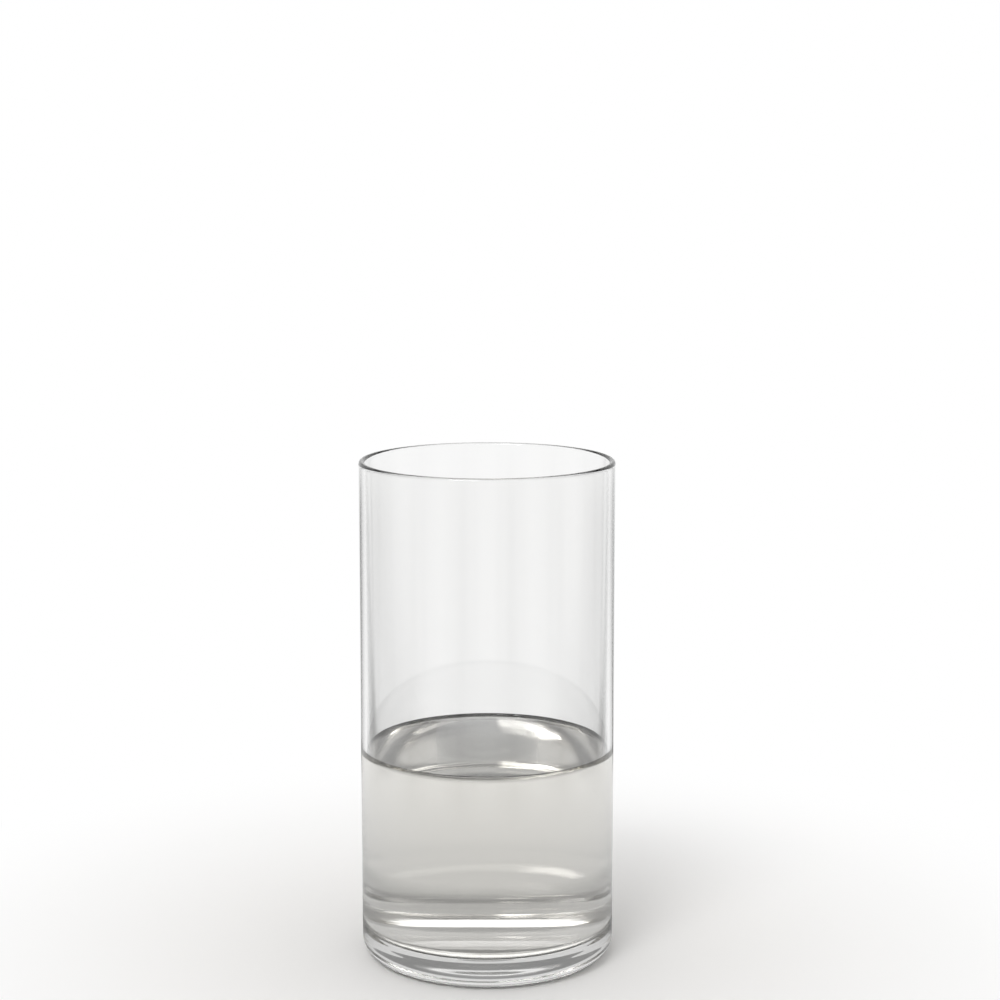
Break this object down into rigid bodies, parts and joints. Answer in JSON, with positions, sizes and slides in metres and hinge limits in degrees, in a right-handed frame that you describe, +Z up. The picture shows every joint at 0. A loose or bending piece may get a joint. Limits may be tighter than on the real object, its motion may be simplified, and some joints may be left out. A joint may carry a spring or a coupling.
{
  "type": "glass cylinder vase",
  "caption": "Clear glass cylinder vase with a thick rounded base and a fire-polished rim, holding water for cut stems.",
  "frame": {"origin": "middle of the base, in the plane of the ring that bears on the table", "axes": "+Z up along the vase's axis, towards the mouth; the vase is round, so X and Y are free"},
  "size_m": [0.127, 0.127, 0.252],
  "materials": {
    "clear_glass": "clear soda-lime glass, fire-polished, IOR 1.52",
    "water": "clear fresh water, IOR 1.333"
  },
  "bodies": {
    "root": {"glass_vase": "clear_glass", "water": "water"}
  },
  "joints": []
}
